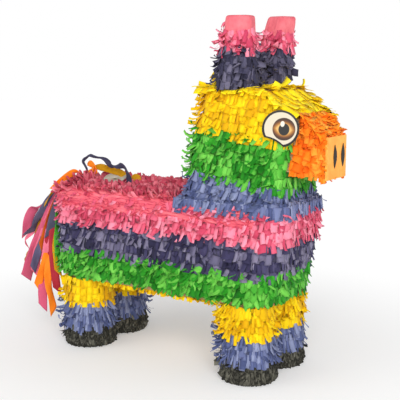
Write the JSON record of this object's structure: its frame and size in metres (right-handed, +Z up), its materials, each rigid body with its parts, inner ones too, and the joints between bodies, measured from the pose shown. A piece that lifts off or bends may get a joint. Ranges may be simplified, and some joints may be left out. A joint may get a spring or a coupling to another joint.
{
  "type": "donkey pinata",
  "caption": "Hollow cardboard donkey pinata covered in rows of fringed crepe paper, with a fill flap in the back, a twisted hanging loop and a streamer tail",
  "frame": {"origin": "middle of the bounding box, on the floor under the hooves", "axes": "+X from the tail to the nose, +Y to the left side of the donkey, +Z up"},
  "size_m": [0.6426, 0.1828, 0.56],
  "materials": {
    "cardboard": "matt corrugated kraft board",
    "crepe_pink": "matt crepe paper, fringed",
    "crepe_purple": "matt crepe paper, fringed",
    "crepe_green": "matt crepe paper, fringed",
    "crepe_yellow": "matt crepe paper, fringed",
    "crepe_orange": "matt crepe paper, fringed",
    "crepe_blue": "matt crepe paper, fringed",
    "crepe_black": "matt crepe paper, fringed",
    "twisted_cord": "twisted crepe paper cord",
    "ear_cap_paper": "smooth matt paper",
    "nose_paper": "smooth matt paper",
    "black_paper": "smooth matt paper",
    "printed_card": "satin printed card",
    "blank_label": "satin sticker"
  },
  "bodies": {
    "carcass": {"body_wall": "cardboard", "belly_panel": "cardboard", "fringe_body_green": "crepe_green", "fringe_body_purple": "crepe_purple", "fringe_body_pink": "crepe_pink", "fringe_belly_yellow": "crepe_yellow", "back_panel": "cardboard", "loop_anchor_plate": "cardboard", "fringe_back_pink": "crepe_pink", "back_label": "blank_label", "loop_tied_run": "twisted_cord", "leg_tube_front_right": "cardboard", "hoof_disc_front_right": "cardboard", "fringe_leg_black_front_right": "crepe_black", "fringe_leg_blue_front_right": "crepe_blue", "fringe_leg_yellow_front_right": "crepe_yellow", "leg_tube_rear_right": "cardboard", "hoof_disc_rear_right": "cardboard", "fringe_leg_black_rear_right": "crepe_black", "fringe_leg_blue_rear_right": "crepe_blue", "fringe_leg_yellow_rear_right": "crepe_yellow", "leg_tube_front_left": "cardboard", "hoof_disc_front_left": "cardboard", "fringe_leg_black_front_left": "crepe_black", "fringe_leg_blue_front_left": "crepe_blue", "fringe_leg_yellow_front_left": "crepe_yellow", "leg_tube_rear_left": "cardboard", "hoof_disc_rear_left": "cardboard", "fringe_leg_black_rear_left": "crepe_black", "fringe_leg_blue_rear_left": "crepe_blue", "fringe_leg_yellow_rear_left": "crepe_yellow", "neck_wall": "cardboard", "head_roof": "cardboard", "fringe_neck_blue": "crepe_blue", "fringe_neck_green": "crepe_green", "fringe_head_yellow": "crepe_yellow", "muzzle_wall": "cardboard", "fringe_muzzle_orange": "crepe_orange", "nose_panel": "nose_paper", "nostril_right": "black_paper", "nostril_left": "black_paper", "eye_right": "printed_card", "eye_left": "printed_card", "ear_tube_right": "cardboard", "ear_cap_right": "ear_cap_paper", "fringe_ear_pink_right": "crepe_pink", "fringe_ear_purple_right": "crepe_purple", "ear_tube_left": "cardboard", "ear_cap_left": "ear_cap_paper", "fringe_ear_pink_left": "crepe_pink", "fringe_ear_purple_left": "crepe_purple"},
    "flap": {"fill_flap": "cardboard", "fringe_flap_pink": "crepe_pink"},
    "loop": {"hanging_loop": "twisted_cord"},
    "tail": {"tail_knot": "crepe_orange", "tail_streamer_pink_low": "crepe_pink", "tail_streamer_pink_long": "crepe_pink", "tail_streamer_pink_wide": "crepe_pink", "tail_streamer_orange": "crepe_orange", "tail_streamer_purple": "crepe_purple"}
  },
  "joints": [
    {"name": "flap_fold", "type": "hinge", "parent": "carcass", "child": "flap", "pos_m": [0.00023, 0.0388, 0.2723], "axis": [-1, 0, 0], "range_deg": [0, 110]},
    {"name": "loop_lean", "type": "hinge", "parent": "carcass", "child": "loop", "pos_m": [-0.11877, 0, 0.2765], "axis": [1, 0, 0], "range_deg": [-60, 60]},
    {"name": "tail_swing", "type": "hinge", "parent": "carcass", "child": "tail", "pos_m": [-0.17977, 0, 0.2803], "axis": [0, 1, 0], "range_deg": [0, 70]}
  ]
}
